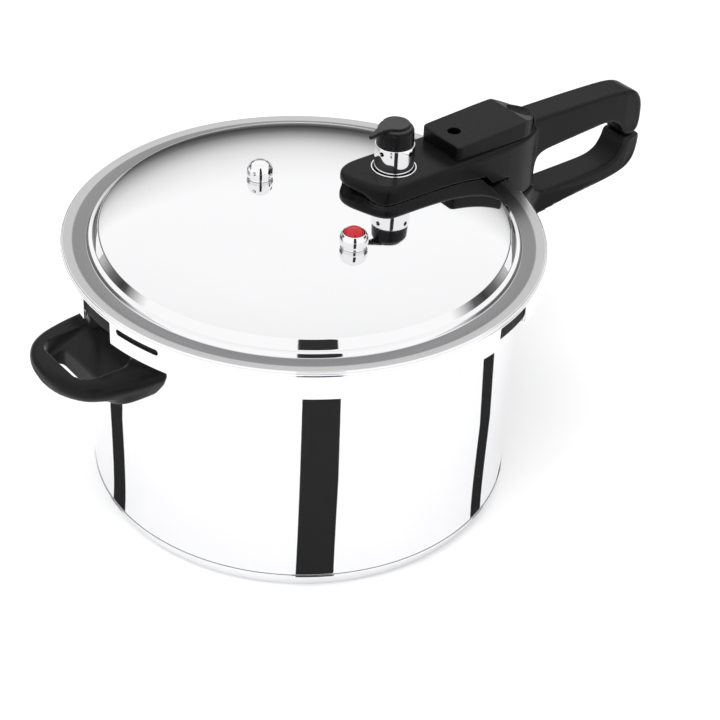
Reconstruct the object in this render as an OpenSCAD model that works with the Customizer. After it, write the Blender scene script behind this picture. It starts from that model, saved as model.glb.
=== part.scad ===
// Pressure canner with a twist-lock lid, a two-part D handle and a helper handle.
// Origin: centre of the flat base, +Z up, +X along the long handle.

/* [Pot] */
// Inside diameter of the pot body
body_in_d = 280; // [278:1:282]
// Wall thickness of the pressed steel pot and lid
wall = 1.2; // [1.0:0.1:1.4]
// Height of the pot's rolled rim above the table
rim_top_z = 171; // [170:0.5:171.2]
// Thickness of the aluminium disc in the base
core_t = 7; // [6:0.1:7]

/* [Lid] */
// Rise of the lid's centre above the edge of its raised crown
crown_rise = 5.3; // [4.8:0.1:5.3]
// Depth of the tabs that carry the locking teeth below the plain skirt
tab_drop = 5.6; // [4.5:0.1:5.6]
// Width of the notch cut in each wide tab, in degrees
notch_deg = 11.5; // [8:0.5:12]
// Length of the gasket window, in degrees
window_deg = 12.8; // [8:0.1:14]

/* [Handles] */
// Half width of the long handle's arm at its widest
arm_half_w = 24; // [22:0.5:25]
// Half width of the upper grip
grip_half_w = 11; // [9:0.5:12]
// Half width of the lower grip
low_half_w = 12; // [10:0.5:13]
// Half width of the helper handle
helper_half_w = 43; // [41:0.5:44]

/* [Valves] */
// Outside radius of the pressure regulator's steel sleeve
reg_r = 13.3; // [12:0.1:13.6]
// Outside radius of the two small valve housings
valve_r = 9.2; // [8.5:0.1:9.6]
// Radius of the steam passage through the vent pipe
vent_bore_r = 1.6; // [1.2:0.1:2.2]

/* [Hidden] */
body_r_in = body_in_d / 2;
body_r = body_r_in + wall;
// pot base and rim
floor_z = 8;
corner_r = 5.2;
lip_r = body_r + 8.3;
lip_bottom_z = 165.4;
lug_r = lip_r + 4.6;
lug_t = 2.2;
// locking teeth: centre and half width in degrees
lug_at = [0, 58, 122, 192, 238, 302.5];
lug_half = [12, 6.5, 8.5, 7, 8.5, 6];
// where each deep tab of the lid's skirt starts and ends
tab_from = [-20, 51, 110, 161, 226, 269];
tab_to = [20, 91, 134, 205, 250, 309];
// centres of the notches in the wide tabs
notch_at = [71, 178.8, 289];
cap_t = 1;
cap_lip_z = 11.7;
// lid
lid_r = body_r + 15.6;
skirt_z = 169;
tab_z = skirt_z - tab_drop;
crown_r = 131.4;
crown_z = 190.9;
gasket_r = lid_r - wall - 0.3;
tooth_in_r = lip_r + 0.7;
tooth_t = 1.5;
// valve positions
vent_x = 72;
relief_x = 2.9;
relief_y = 54.7;
float_x = 2.2;
float_y = -47.8;
// height at which the two valves stand on the crown
seat_z = crown_z + crown_rise;
arm_top = 208;
lid_screw_x = 120.5;
lid_screw_y = 6.4;
spring_z = 204;
skirt_gap_r = lid_r + 1.3;
fine = 160;
mid = 64;

// --- shared 2D shapes ---

// filled cup outline from the axis to r, from z0 to z1, with a rounded bottom corner
module cup2d(r, z0, z1, c) {
    translate([0, z0]) square([r - c, z1 - z0]);
    translate([0, z0 + c]) square([r, z1 - z0 - c]);
    translate([r - c, z0 + c]) circle(c, $fn = mid);
}

// rounded rectangle between two corners
module rbox2d(x0, y0, x1, y1, c) {
    translate([x0 + c, y0]) square([x1 - x0 - 2 * c, y1 - y0]);
    translate([x0, y0 + c]) square([x1 - x0, y1 - y0 - 2 * c]);
    for (x = [x0 + c, x1 - c], y = [y0 + c, y1 - c])
        translate([x, y]) circle(c, $fn = 32);
}

// arc segment of a ring, centred on angle a, half width h degrees
module ring_arc(r0, r1, z0, z1, a, h) {
    rotate([0, 0, a - h])
        rotate_extrude(angle = 2 * h, $fn = fine)
            translate([r0, z0]) square([r1 - r0, z1 - z0]);
}

// lid surface height above the table at radius r: nearly flat, falling faster to the crown's edge
function crown(r) = crown_z + crown_rise * (1 - 0.1 * pow(r / crown_r, 2) - 0.9 * pow(r / crown_r, 6));

// radii at which the crown is drawn, closer together towards its edge
crown_steps = [for (i = [0:10]) crown_r * sqrt(i / 10)];

// outline of the lid's upper surface from the centre to the top of the skirt
lid_top = concat(
    [for (r = crown_steps) [r, crown(r)]],
    [[132.7, 190.3], [133.7, 189.4], [136.4, 185.2], [137.2, 184.6], [139.0, 184.4],
     [139.7, 183.8], [140.3, 182.2], [141.0, 181.7], [147.6, 182.2], [155.2, 183.1],
     [lid_r - 0.8, 182.9], [lid_r - 0.7, 182.3], [lid_r + 0.2, 182.0], [lid_r + 0.5, 181.3],
     [lid_r + 0.3, 180.6], [lid_r - 0.4, 180.2], [lid_r, 179.8], [lid_r, tab_z]]);

// outline of its underside, from the skirt back to the centre
lid_under = concat(
    [[lid_r - wall, tab_z], [lid_r - wall, 180.4], [154.6, 181.5], [147.6, 181.0],
     [141.2, 180.5], [139.4, 180.9], [138.7, 182.9], [136.8, 183.5], [135.6, 184.3],
     [132.8, 188.6], [131.6, 189.4]],
    [for (i = [9:-1:0]) [crown_steps[i], crown(crown_steps[i]) - wall]]);

// everything the lid occupies from outside, with a thin clearance, for parts laid over it
module lid_envelope(gap = 0.3) {
    rotate_extrude($fn = fine)
        polygon(concat(
            [[0, 150]],
            [for (r = crown_steps) [r, crown(r) + gap]],
            [[137.5, 190.4 + gap], [143.5, 183.2 + gap], [skirt_gap_r, 183.2 + gap],
             [skirt_gap_r, 150]]));
}

// --- pot ---

module pot_shell() {
    color([0.80, 0.80, 0.82])
    union() {
        rotate_extrude($fn = fine) {
            difference() {
                cup2d(body_r, floor_z, rim_top_z - 2, corner_r);
                cup2d(body_r_in, floor_z + wall, rim_top_z, corner_r - wall);
            }
            difference() {
                rbox2d(body_r_in, lip_bottom_z, lip_r, rim_top_z, 1.9);
                translate([body_r_in - 1, lip_bottom_z - 1])
                    square([1, 10]);
                translate([body_r, lip_bottom_z - 1])
                    square([lip_r - wall - body_r, rim_top_z - wall - lip_bottom_z + 1]);
            }
        }
        for (i = [0:5])
            ring_arc(lip_r - 0.3, lug_r, lip_bottom_z, lip_bottom_z + lug_t,
                     lug_at[i], lug_half[i]);
    }
}

module base_core() {
    color([0.72, 0.73, 0.75])
    translate([0, 0, floor_z - core_t])
        cylinder(r = body_r - corner_r - 1.5, h = core_t, $fn = fine);
}

module base_cap() {
    color([0.82, 0.82, 0.84])
    rotate_extrude($fn = fine)
        polygon([[0, 0], [134.6, 0], [136.0, 0.5], [136.9, 1.5], [body_r + 0.4, cap_lip_z - 0.9],
                 [body_r + 0.4, cap_lip_z], [body_r, cap_lip_z], [body_r - 1.1, cap_lip_z - 1.9],
                 [body_r - 2.5, cap_lip_z - 3], [body_r - 3.8, cap_lip_z - 3.7],
                 [body_r - 5.1, cap_lip_z - 3.8], [135.6, 5], [135.2, cap_t + 0.4],
                 [134.4, cap_t], [0, cap_t]]);
}

// curved steel plate spot-welded to the wall, with a flat tongue for the handle's screws
module wall_bracket(x_out, half_w, z0, z1, tongue_z) {
    difference() {
        union() {
            intersection() {
                difference() {
                    cylinder(r = body_r + 1.9, h = z1, $fn = fine);
                    translate([0, 0, -1]) cylinder(r = body_r + 0.02, h = z1 + 2, $fn = fine);
                }
                translate([body_r - 20, -half_w, z0]) cube([30, 2 * half_w, z1 - z0]);
            }
            translate([body_r + 0.9, -8, tongue_z]) cube([x_out - body_r - 0.9, 16, 3]);
        }
        for (x = [x_out - 7, x_out - 25])
            if (x > body_r + 6)
                translate([x, 0, tongue_z - 1]) cylinder(r = 2.2, h = 5, $fn = 32);
    }
}

module pot_bracket() {
    color([0.70, 0.70, 0.72]) wall_bracket(185, 14, 139, 157, 146);
}

module helper_bracket() {
    color([0.70, 0.70, 0.72]) rotate([0, 0, 180]) wall_bracket(160, 16, 137, 151, 140.5);
}

// clearance pocket that a handle needs around a wall bracket
module bracket_pocket(x_out, half_w, z0, z1, tongue_z) {
    g = 0.3;
    intersection() {
        cylinder(r = body_r + 2.3, h = z1 + g, $fn = fine);
        translate([body_r - 20, -half_w - g, z0 - g]) cube([30, 2 * half_w + 2 * g, z1 - z0 + 2 * g]);
    }
    translate([body_r, -8 - g, tongue_z - g]) cube([x_out - body_r + g, 16 + 2 * g, 3 + 2 * g]);
}

// cheese-head screw standing on its head, head from z, shank upwards
module screw_up(x, z, len) {
    translate([x, 0, z]) difference() {
        union() {
            cylinder(r = 4.2, h = 3, $fn = 48);
            cylinder(r = 2.15, h = 3 + len, $fn = 32);
        }
        translate([-2.6, -0.5, -1]) cube([5.2, 1, 2.2]);
        translate([-0.5, -2.6, -1]) cube([1, 5.2, 2.2]);
    }
}

// hole for such a screw, open downwards
module screw_up_hole(x, z, len) {
    translate([x, 0, z - 30]) cylinder(r = 4.6, h = 33, $fn = 48);
    translate([x, 0, z]) cylinder(r = 2.4, h = len + 3.4, $fn = 32);
}

module pot_screws() {
    color([0.62, 0.62, 0.64]) {
        screw_up(160, 137.6, 9);
        screw_up(178, 137.6, 9);
    }
}

module helper_screw() {
    color([0.62, 0.62, 0.64]) rotate([0, 0, 180]) screw_up(153, 136.6, 7.6);
}

// side outline of the lower grip
low_side = [[141, 137], [150, 134.6], [165, 134], [199, 135.6], [240, 139.2], [268, 141.6],
            [282, 144.8], [290.2, 150.4], [294.2, 158.4], [295.4, 167], [294.6, 169.8],
            [292.2, 171], [280.6, 171], [278.6, 169.4], [277, 163.6], [272.4, 156.6],
            [264, 153], [252, 152.3], [203, 152.3], [197.5, 153.6], [193.4, 157.2],
            [190.8, 161.2], [188.4, 162.3], [141, 162.3]];

module pot_handle() {
    color([0.10, 0.10, 0.11])
    difference() {
        intersection() {
            rotate([90, 0, 0]) translate([0, 0, -25])
                linear_extrude(50) polygon(low_side);
            linear_extrude(200)
                polygon([[130, -20], [176, -20], [184, -18.5], [192, -14.5], [200, -low_half_w],
                         [286, -low_half_w], [293, -low_half_w + 2.4], [298, -low_half_w + 6],
                         [298, low_half_w - 6], [293, low_half_w - 2.4], [286, low_half_w],
                         [200, low_half_w], [192, 14.5], [184, 18.5], [176, 20], [130, 20]]);
        }
        translate([0, 0, 120]) cylinder(r = body_r + 0.3, h = 60, $fn = fine);
        bracket_pocket(185, 14, 139, 157, 146);
        screw_up_hole(160, 137.6, 9);
        screw_up_hole(178, 137.6, 9);
    }
}

// plan outline of the helper handle, inset all round
module helper_plan(inset) {
    w = helper_half_w - inset;
    e = 198 - inset;
    k = inset * 0.7;
    polygon([[-130, -w], [-145, -w + 0.5], [k - 160, -w + 2], [k - 176, -w + 5.5],
             [k - 186, -w + 11], [5.5 - e, -w + 19], [1.5 - e, -w + 28], [-e, -4], [-e, 4],
             [1.5 - e, w - 28], [5.5 - e, w - 19], [k - 186, w - 11], [k - 176, w - 5.5],
             [k - 160, w - 2], [-145, w - 0.5], [-130, w]]);
}

module helper_handle() {
    color([0.10, 0.10, 0.11])
    difference() {
        union() {
            // underside rises towards the nose; the rim is rounded over
            hull() {
                translate([0, 0, 132.6]) linear_extrude(0.2)
                    polygon([[-130, -37], [-158, -37], [-166, -33], [-170, -24], [-171, 0],
                             [-170, 24], [-166, 33], [-158, 37], [-130, 37]]);
                translate([0, 0, 141]) linear_extrude(0.2) helper_plan(2.2);
                translate([0, 0, 147]) linear_extrude(2) helper_plan(0);
                translate([0, 0, 151.6]) linear_extrude(0.2) helper_plan(1.6);
                translate([0, 0, 153.4]) linear_extrude(0.2) helper_plan(5);
            }
            translate([-150, -34, 148]) cube([20, 68, 11]);
        }
        // sloping thumb rest, open towards the finger hole
        hull() {
            translate([-147.5, -26, 154.6]) cube([0.2, 52, 8]);
            translate([-175, -26, 145.6]) cube([0.2, 52, 18]);
            translate([-185, -19, 144]) cube([0.2, 38, 20]);
        }
        // finger hole
        translate([0, 0, 130]) linear_extrude(30)
            rbox2d(-185, -21, -171, 21, 4);
        translate([0, 0, 120]) cylinder(r = body_r + 0.3, h = 60, $fn = fine);
        rotate([0, 0, 180]) {
            bracket_pocket(160, 16, 137, 151, 140.5);
            screw_up_hole(153, 136.6, 7.6);
        }
    }
}

// --- lid ---

module lid_shell() {
    color([0.82, 0.82, 0.84])
    difference() {
        union() {
            rotate_extrude($fn = fine)
                polygon(concat(lid_top, lid_under));
            for (i = [0:5])
                ring_arc(tooth_in_r, lid_r - 0.4, tab_z, tab_z + tooth_t, lug_at[i], lug_half[i]);
        }
        // plain skirt between the tabs
        for (i = [0:5]) {
            from = tab_to[i];
            to = (i == 5 ? 360 : 0) + tab_from[(i + 1) % 6];
            ring_arc(lid_r - 3, lid_r + 1, tab_z - 1, skirt_z, (from + to) / 2, (to - from) / 2);
        }
        // notches cut in the wide tabs
        for (a = notch_at)
            ring_arc(tooth_in_r - 1, lid_r + 1, tab_z - 1, 178.6, a, notch_deg / 2);
        // gasket window
        ring_arc(lid_r - 4, lid_r + 1, 173.6, 177.8, 193.2, window_deg / 2);
        // valve holes
        translate([vent_x, 0, 170]) cylinder(r = 5.1, h = 30, $fn = mid);
        translate([relief_x, relief_y, 170]) cylinder(r = 4.1, h = 30, $fn = mid);
        translate([float_x, float_y, 170]) cylinder(r = 5.1, h = 30, $fn = mid);
    }
}

module gasket() {
    color([0.08, 0.08, 0.09])
    rotate_extrude($fn = fine)
        polygon([[tooth_in_r + 0.1, 168.3], [gasket_r, 168.3], [gasket_r, 178.6],
                 [gasket_r - 1.4, 180.4], [142.6, 180.4], [142.6, 179.2], [144, 178.6],
                 [148.6, 178.2], [148.6, 174.2], [144.4, 173.4], [142.8, 172.6], [142.8, 171.3],
                 [tooth_in_r + 0.1, 171.3]]);
}

// side outline of the upper grip and the post that carries it
up_side = [[181.5, 163.2], [190.4, 163.2], [191.6, 168], [192.4, 177], [194, 181.6],
           [198, 184], [204, 185.2], [240, 187.4], [258, 188.6], [266, 187], [273, 182.4],
           [277, 176.6], [279.6, 173], [282.6, 171.9], [288.4, 171.9], [293, 174.4], [295.2, 180.4],
           [295.2, 192], [292.6, 199.4], [287.6, 205.6], [280, 209.2], [268, 211], [230, 212.4],
           [188, 213], [185.2, 212.2], [184, 210.4], [184, 204], [181.5, 204]];

// plan outline of the arm over the lid, inset all round by d
module arm_plan(d) {
    w = arm_half_w - d;
    polygon(concat(
        [[38.2 + d, 11], [38.6 + d, 5], [40.4 + d, -1.5], [45 + d, -w + 9.5],
         [49.4 + d, -w + 3.2], [54 + d, -w + 0.8], [60 + d * 0.5, -w]],
        arm_rear(w, d),
        [[60, w], [50.6 + d * 0.4, w - 0.6], [44 + d, w - 3.2], [39.8 + d, w - 7.6]]));
}

// the arm's underside is cut back square at the tip
module arm_foot_plan() {
    w = arm_half_w;
    polygon(concat(
        [[45.6, w - 2], [44.8, 10], [44.3, -2], [44.5, -w + 11], [45.3, -w + 6],
         [47.6, -w + 2.6], [51.6, -w + 0.5], [60, -w]],
        arm_rear(w, 0),
        [[62, w], [50, w - 0.6]]));
}

// side and rear corners shared by both outlines, near side first
function arm_rear(w, d) =
    [[150, -w + 1.2], [168, -w + 3], [179 - d * 0.4, -w + 6], [187 - d * 0.7, -w + 9.8],
     [192.4 - d, -w + 14.5], [192.4 - d, w - 14.5], [187 - d * 0.7, w - 9.8],
     [179 - d * 0.4, w - 6], [168, w - 3], [150, w - 1.2]];

// plan outline of the latch block, grown by g
module block_plan(g) {
    polygon([[111 - g, -16.6], [112.2 - g, -18.8 - g], [115, -19.6 - g], [168, -20.1 - g],
             [176 + g, -18.6 - g], [183.4 + g, -12.8 - g], [188.4 + g, -7.4], [190.8 + g, -3.6],
             [191.6 + g, 0], [190.8 + g, 3.6], [188.4 + g, 7.4], [183.4 + g, 12.8 + g],
             [176 + g, 18.6 + g], [168, 20.1 + g], [115, 19.6 + g], [112.2 - g, 18.8 + g],
             [111 - g, 16.6]]);
}

module lid_handle() {
    color([0.10, 0.10, 0.11])
    difference() {
        union() {
            // arm over the lid and post outside its rim
            difference() {
                hull() {
                    translate([0, 0, 163.2]) linear_extrude(33.6) arm_foot_plan();
                    translate([0, 0, 201.4]) linear_extrude(3.4) arm_plan(0);
                    translate([0, 0, 206.8]) linear_extrude(0.2) arm_plan(1.2);
                    translate([0, 0, 207.8]) linear_extrude(0.2) arm_plan(3.2);
                }
                lid_envelope();
                translate([190, -30, 186]) cube([10, 60, 30]);
            }
            // upper grip
            intersection() {
                rotate([90, 0, 0]) translate([0, 0, -25])
                    linear_extrude(50) polygon(up_side);
                rotate([90, 0, 90]) linear_extrude(300)
                    rbox2d(-grip_half_w, 150, grip_half_w, 213.2, 4);
                translate([0, 0, 150]) linear_extrude(80)
                    polygon([[180, -20], [286.5, -20], [298, -grip_half_w + 6],
                             [298, grip_half_w - 6], [286.5, 20], [180, 20]]);
            }
        }
        // passage for the vent pipe and its nut
        translate([vent_x, 0, 185]) cylinder(r = 8.4, h = 17, $fn = mid);
        translate([vent_x, 0, 185]) cylinder(r = 5.6, h = 30, $fn = mid);
        // slideway of the latch and the screw wells under it
        translate([116, -7.3, 201.6]) cube([66.3, 14.6, 12]);
        for (y = [-lid_screw_y, lid_screw_y])
            translate([lid_screw_x, y, 190]) {
                cylinder(r = 2.5, h = 20, $fn = 32);
                translate([0, 0, 8.2]) cylinder(r = 4.8, h = 14, $fn = 48);
            }
        // blind bore for the latch spring
        translate([98, 0, spring_z]) rotate([0, 90, 0]) cylinder(r = 2.9, h = 20, $fn = 48);
        // well for the locking tongue
        translate([165.6, -4.3, 160]) cube([16.7, 8.6, 50]);
        // recess for the lid bracket
        translate([107.6, -12.4, 185]) cube([23.8, 24.8, 12.2]);
        // seat for the rounded back of the latch block
        translate([0, 0, arm_top]) linear_extrude(20) block_plan(0.4);
    }
}

module lid_bracket() {
    color([0.70, 0.70, 0.72])
    difference() {
        translate([108, -12, 189]) cube([23, 24, 7.9]);
        lid_envelope(0.02);
        for (y = [-lid_screw_y, lid_screw_y])
            translate([lid_screw_x, y, 180]) cylinder(r = 2.2, h = 20, $fn = 32);
    }
}

module lid_screws() {
    color([0.62, 0.62, 0.64])
    for (y = [-lid_screw_y, lid_screw_y])
        translate([lid_screw_x, y, 194.6]) difference() {
            union() {
                cylinder(r = 2.15, h = 4, $fn = 32);
                translate([0, 0, 3.7]) cylinder(r = 4.4, h = 2.8, $fn = 48);
            }
            translate([-2.6, -0.5, 5.3]) cube([5.2, 1, 3]);
            translate([-0.5, -2.6, 5.3]) cube([1, 5.2, 3]);
        }
}

module latch_spring() {
    color([0.66, 0.66, 0.68])
    translate([99, 0, spring_z]) rotate([0, 90, 0])
        for (i = [0:9])
            translate([0, 0, i * 2.95])
                rotate_extrude($fn = 48) translate([1.9, 0]) circle(0.4, $fn = 16);
}

module latch_block() {
    color([0.11, 0.11, 0.12])
    difference() {
        union() {
            intersection() {
                rotate([90, 0, 0]) translate([0, 0, -25])
                    linear_extrude(50)
                        polygon([[111, 208.3], [191.6, 208.3], [191.6, 214.4], [190.6, 215.5],
                                 [184, 216.4], [171.8, 221], [113.2, 218.8], [111.4, 217.2]]);
                translate([0, 0, 200]) linear_extrude(30) block_plan(0);
            }
            // runner in the arm's slideway
            translate([126, -7, 203.4]) cube([16, 14, 5.4]);
            translate([168, -7, 203.4]) cube([14, 14, 5.4]);
        }
        // sight hole and thumb scoop
        translate([123.4, 0.4, 195]) cylinder(r = 4.6, h = 40, $fn = 48);
        translate([184, 0.4, 227.3]) sphere(r = 13.6, $fn = mid);
    }
}

// spring steel tongue that follows the latch block
module lock_tongue() {
    color([0.72, 0.72, 0.74]) {
        translate([174.6, -3.6, 162.9]) cube([3, 7.2, 40.4]);
        translate([168.6, -3.6, 201.9]) cube([13, 7.2, 1.4]);
    }
}

// --- steam vent and regulator ---

module vent_pipe() {
    color([0.78, 0.78, 0.80])
    translate([vent_x, 0, 0]) difference() {
        union() {
            translate([0, 0, 186]) cylinder(r = 4.9, h = 27.6, $fn = mid);
            translate([0, 0, seat_z - 0.1]) cylinder(r = 8, h = 2.6, $fn = mid);
            translate([0, 0, 213.6]) cylinder(r1 = 4.9, r2 = 3.4, h = 1.4, $fn = mid);
        }
        translate([0, 0, 180]) cylinder(r = vent_bore_r, h = 40, $fn = 32);
    }
}

module hex_nut(r_hole, r_out, h) {
    difference() {
        cylinder(r = r_out, h = h, $fn = 6);
        translate([0, 0, -1]) cylinder(r = r_hole, h = h + 2, $fn = mid);
    }
}

module vent_nut() {
    color([0.70, 0.70, 0.72]) translate([vent_x, 0, 190.4]) hex_nut(5, 8.6, 4);
}

// perforated cap that keeps food out of the vent
module vent_filter() {
    color([0.74, 0.74, 0.76])
    translate([vent_x, 0, 0]) difference() {
        translate([0, 0, 179.6]) cylinder(r = 6.6, h = 9, $fn = mid);
        translate([0, 0, 180.6]) cylinder(r = 5, h = 9, $fn = mid);
        for (a = [0:45:315])
            rotate([0, 0, a]) translate([3, 0, 182.8]) rotate([0, 90, 0])
                cylinder(r = 0.9, h = 6, $fn = 24);
    }
}

// thin trim ring laid on the arm round the regulator
module vent_ring() {
    color([0.85, 0.85, 0.87])
    translate([vent_x, 0, arm_top + 0.02]) difference() {
        cylinder(r = reg_r + 2, h = 0.8, $fn = mid);
        translate([0, 0, -1]) cylinder(r = reg_r + 0.9, h = 3, $fn = mid);
    }
}

module reg_sleeve() {
    color([0.88, 0.88, 0.90])
    translate([vent_x, 0, 209.0]) difference() {
        cylinder(r = reg_r, h = 17.2, $fn = fine);
        translate([0, 0, -1]) cylinder(r = reg_r - 1.3, h = 20, $fn = fine);
        for (a = [11.5:90:281.5])
            rotate([0, 0, a]) translate([reg_r - 3, 0, 13.4]) rotate([0, 90, 0])
                cylinder(r = 1.7, h = 6, $fn = 32);
    }
}

// weight inside the sleeve, seated on the pipe's nose, with the stud that the cap turns on
module reg_weight() {
    color([0.75, 0.68, 0.42])
    translate([vent_x, 0, 0]) difference() {
        union() {
            translate([0, 0, 215.5]) cylinder(r = 6.4, h = 9.2, $fn = mid);
            translate([0, 0, 224.5]) cylinder(r = reg_r - 1.32, h = 1.6, $fn = fine);
            translate([0, 0, 226]) cylinder(r = 5, h = 8.4, $fn = mid);
        }
        translate([0, 0, 214]) cylinder(r1 = 5.2, r2 = 1.8, h = 3.6, $fn = mid);
    }
}

module reg_cap() {
    color([0.10, 0.10, 0.11])
    translate([vent_x, 0, 0]) difference() {
        union() {
            rotate_extrude($fn = mid)
                polygon([[0, 226.5], [reg_r - 0.8, 226.5], [reg_r - 1.2, 235.8], [reg_r - 1.6, 237.2],
                         [reg_r - 2.5, 238.3], [reg_r - 4, 239], [0, 239]]);
            // teardrop plate on top that droops into the pointer
            intersection() {
                translate([0, 0, 230]) linear_extrude(20) {
                    circle(9.3, $fn = mid);
                    translate([-20, 0]) circle(1.6, $fn = 32);
                    polygon([[-5, -7.84], [-8.6, -4.9], [-12.6, -3], [-16.4, -2.1], [-20.2, -1.58],
                             [-20.2, 1.58], [-16.4, 2.1], [-12.6, 3], [-8.6, 4.9], [-5, 7.84]]);
                }
                rotate([90, 0, 0]) translate([0, 0, -10]) linear_extrude(20)
                    polygon([[10, 238.4], [10, 241], [-7, 241], [-11, 240.6], [-15, 239.5],
                             [-19, 238.2], [-21.2, 237.3], [-22, 236.5], [-21.2, 235.7], [-18.5, 236.1],
                             [-14.5, 237.2], [-11.5, 238], [-9, 238.4]]);
            }
        }
        translate([0, 0, 225]) cylinder(r = 5.06, h = 9.8, $fn = mid);
    }
}

// --- safety valve ---

module relief_body() {
    color([0.88, 0.88, 0.90])
    translate([relief_x, relief_y, seat_z]) difference() {
        union() {
            rotate_extrude($fn = fine)
                polygon([[0, 0], [valve_r - 1.0, 0], [valve_r - 0.5, 0.7],
                         [valve_r - 0.3, 2.2], [valve_r - 0.4, 5.2], [valve_r - 0.9, 7.4],
                         [valve_r - 1.8, 9.2], [valve_r - 3.2, 10.6], [valve_r - 5, 11.5],
                         [valve_r - 7.2, 11.9], [0, 12]]);
            translate([0, 0, -9.8]) cylinder(r = 3.9, h = 10, $fn = mid);
        }
        translate([0, 0, -6.3]) cylinder(r = 2.2, h = 8, $fn = 48);
        translate([0, 0, -12.8]) cylinder(r = 1.2, h = 10, $fn = 32);
        translate([0, 0, 1.1]) cylinder(r = 5.6, h = 8, $fn = mid);
        for (a = [28:90:298])
            rotate([0, 0, a]) translate([4, 0, 6.4]) rotate([0, 90, 0])
                cylinder(r = 1.25, h = 8, $fn = 24);
    }
}

module relief_plunger() {
    color([0.75, 0.68, 0.42])
    translate([relief_x, relief_y, seat_z]) {
        translate([0, 0, -6]) cylinder(r = 2.0, h = 7.3, $fn = 48);
        translate([0, 0, 1.3]) cylinder(r = 4.6, h = 1.2, $fn = 48);
        translate([0, 0, 2.4]) cylinder(r = 1.5, h = 3, $fn = 32);
    }
}

module relief_spring() {
    color([0.66, 0.66, 0.68])
    translate([relief_x, relief_y, seat_z + 2.9])
        for (i = [0:5])
            translate([0, 0, i * 1.16])
                rotate_extrude($fn = 48) translate([2.6, 0]) circle(0.35, $fn = 16);
}

module relief_seal() {
    color([0.12, 0.12, 0.13])
    translate([relief_x, relief_y, seat_z - 3.4]) difference() {
        cylinder(r = 8.2, h = 1.6, $fn = mid);
        translate([0, 0, -1]) cylinder(r = 4.1, h = 4, $fn = mid);
    }
}

module relief_nut() {
    color([0.70, 0.70, 0.72]) translate([relief_x, relief_y, seat_z - 7.2]) hex_nut(4, 7.4, 3.7);
}

// --- pressure indicator ---

module float_body() {
    color([0.88, 0.88, 0.90])
    translate([float_x, float_y, seat_z]) difference() {
        union() {
            rotate_extrude($fn = fine)
                polygon([[0, 0], [valve_r - 1, 0], [valve_r - 0.7, 0.6],
                         [valve_r - 1, 1.1], [valve_r - 0.5, 1.8], [valve_r, 3.2],
                         [valve_r + 0.2, 5], [valve_r, 6.8], [valve_r - 0.7, 8.5],
                         [valve_r - 1.5, 9.8], [valve_r - 2, 10.3], [0, 10.3]]);
            translate([0, 0, -9.8]) cylinder(r = 4.9, h = 10, $fn = mid);
        }
        translate([0, 0, 1.8]) cylinder(r = 7.0, h = 10, $fn = mid);
        translate([0, 0, -12.8]) cylinder(r = 2.55, h = 20, $fn = 48);
    }
}

module float_pin() {
    color([0.72, 0.05, 0.06])
    translate([float_x, float_y, seat_z]) {
        rotate_extrude($fn = mid)
            polygon([[0, 2.1], [6.6, 2.1], [6.7, 9.1], [6.3, 10.4], [5.3, 11.6],
                     [3.8, 12.6], [2, 13.2], [0, 13.4]]);
        translate([0, 0, -14.2]) cylinder(r = 2.5, h = 16.5, $fn = 48);
    }
}

// retaining clip on the pin's lower end
module float_clip() {
    color([0.74, 0.74, 0.76])
    translate([float_x, float_y, seat_z - 13.9]) difference() {
        cylinder(r = 5, h = 0.9, $fn = mid);
        translate([0, 0, -1]) cylinder(r = 2.5, h = 3, $fn = 48);
        translate([0, -1.2, -1]) cube([8, 2.4, 3]);
    }
}

module float_seal() {
    color([0.12, 0.12, 0.13])
    translate([float_x, float_y, seat_z - 3.4]) difference() {
        cylinder(r = 8.6, h = 1.6, $fn = mid);
        translate([0, 0, -1]) cylinder(r = 5.1, h = 4, $fn = mid);
    }
}

module float_nut() {
    color([0.70, 0.70, 0.72]) translate([float_x, float_y, seat_z - 7.2]) hex_nut(5, 8.6, 3.7);
}

pot_shell();
base_core();
base_cap();
pot_bracket();
pot_handle();
pot_screws();
helper_bracket();
helper_handle();
helper_screw();
lid_shell();
gasket();
lid_handle();
lid_bracket();
lid_screws();
latch_block();
lock_tongue();
latch_spring();
vent_pipe();
vent_nut();
vent_filter();
vent_ring();
reg_sleeve();
reg_weight();
reg_cap();
relief_body();
relief_plunger();
relief_spring();
relief_seal();
relief_nut();
float_body();
float_pin();
float_clip();
float_seal();
float_nut();
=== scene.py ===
"""Looks of the pressure canner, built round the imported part. Lengths in this file are in millimetres."""
import math

import bmesh
import bpy
from mathutils import Matrix, Vector


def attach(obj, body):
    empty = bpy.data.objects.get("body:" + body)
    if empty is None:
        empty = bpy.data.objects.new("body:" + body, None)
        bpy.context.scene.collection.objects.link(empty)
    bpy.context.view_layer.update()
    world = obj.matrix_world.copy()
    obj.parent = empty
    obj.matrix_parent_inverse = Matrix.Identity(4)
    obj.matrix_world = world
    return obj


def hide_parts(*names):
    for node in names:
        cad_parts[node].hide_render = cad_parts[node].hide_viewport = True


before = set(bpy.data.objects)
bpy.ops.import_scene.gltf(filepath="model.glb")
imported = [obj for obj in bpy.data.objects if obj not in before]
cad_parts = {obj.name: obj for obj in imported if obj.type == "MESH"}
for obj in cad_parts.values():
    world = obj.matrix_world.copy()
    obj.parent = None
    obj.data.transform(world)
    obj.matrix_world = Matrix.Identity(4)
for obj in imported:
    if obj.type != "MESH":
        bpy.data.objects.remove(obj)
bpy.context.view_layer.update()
MM = 0.001

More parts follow.
